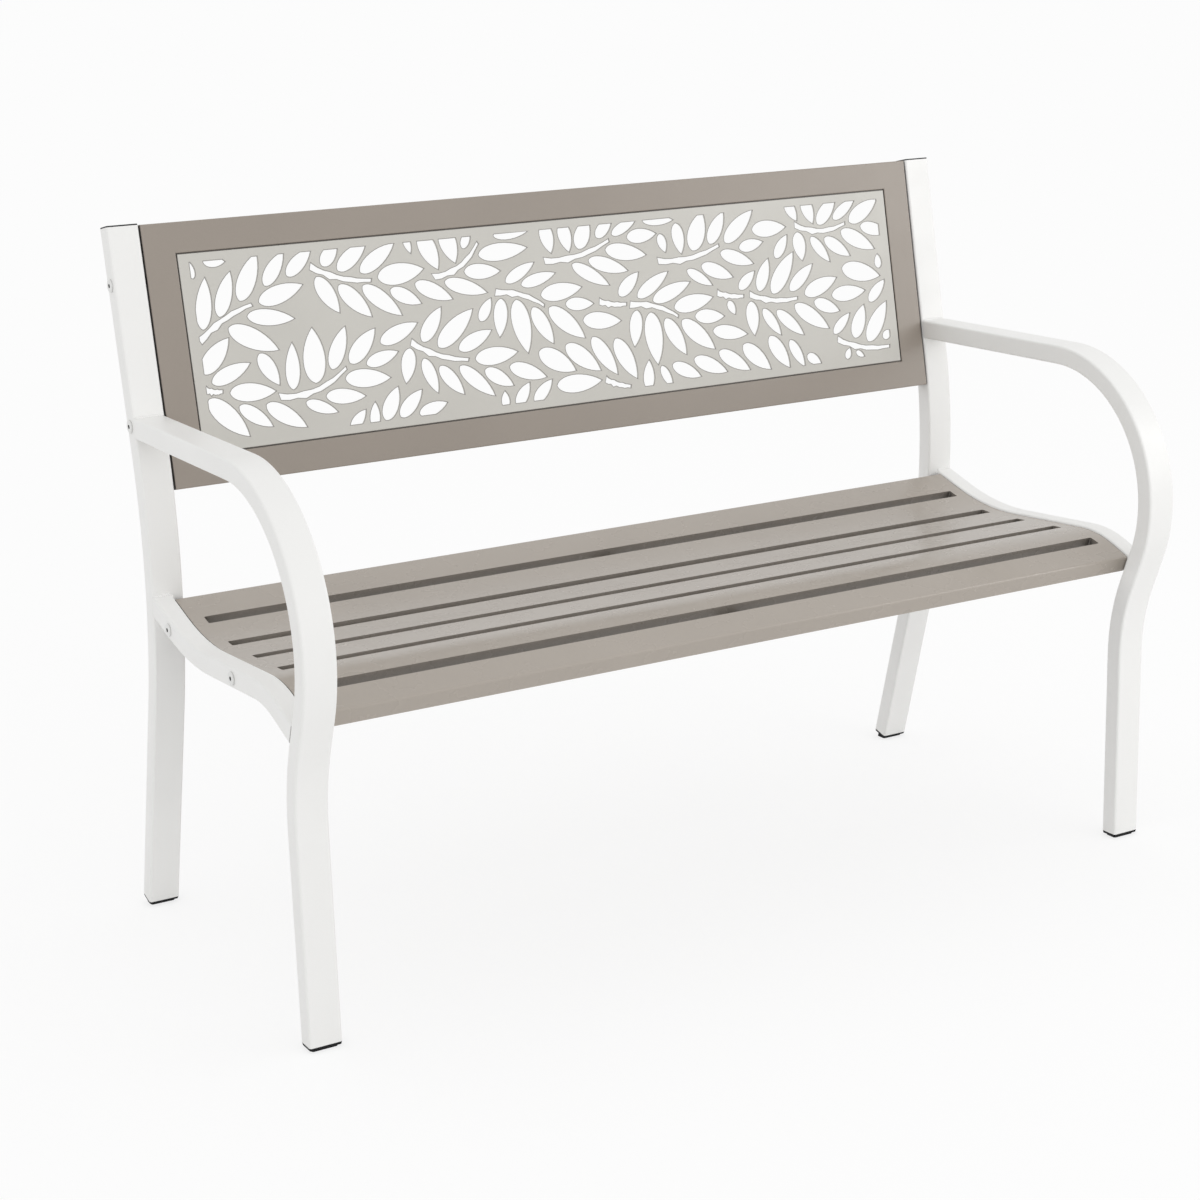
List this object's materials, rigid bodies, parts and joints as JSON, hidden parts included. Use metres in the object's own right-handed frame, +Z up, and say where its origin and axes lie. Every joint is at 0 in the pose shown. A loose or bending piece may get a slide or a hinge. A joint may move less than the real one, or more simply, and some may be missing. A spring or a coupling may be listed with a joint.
{
  "type": "garden bench",
  "caption": "Outdoor bench for two with bent tubular end frames and armrests, a contoured slotted sheet seat and a framed back panel with leaf-shaped cut-outs.",
  "frame": {"origin": "on the floor, under the middle of the bench's bounding box", "axes": "+X along the bench to its right-hand end as seen by someone facing the front, +Y towards the back, +Z up"},
  "size_m": [1.2244, 0.59, 0.8818],
  "materials": {
    "white_coat": "satin white powder coat",
    "seat_coat": "satin warm-grey powder coat",
    "frame_coat": "satin taupe powder coat",
    "leaf_coat": "satin pale-grey powder coat",
    "bolt_coat": "white-coated bolt head",
    "black_plastic": "moulded black plastic",
    "zinc": "bright zinc plate"
  },
  "bodies": {
    "root": {"back_bolts": "bolt_coat", "back_frame": "frame_coat", "back_nuts": "zinc", "back_spacers": "black_plastic", "leaf_panel": "leaf_coat", "leaf_panel_push_nuts": "zinc", "left_arm_and_leg": "white_coat", "left_front_foot": "black_plastic", "left_rear_foot": "black_plastic", "left_rear_upright": "white_coat", "left_seat_rail": "white_coat", "left_top_cap": "black_plastic", "right_arm_and_leg": "white_coat", "right_front_foot": "black_plastic", "right_rear_foot": "black_plastic", "right_rear_upright": "white_coat", "right_seat_rail": "white_coat", "right_top_cap": "black_plastic", "seat_bolts": "bolt_coat", "seat_centre_rib": "seat_coat", "seat_nuts": "zinc", "seat_panel": "seat_coat"}
  },
  "joints": []
}
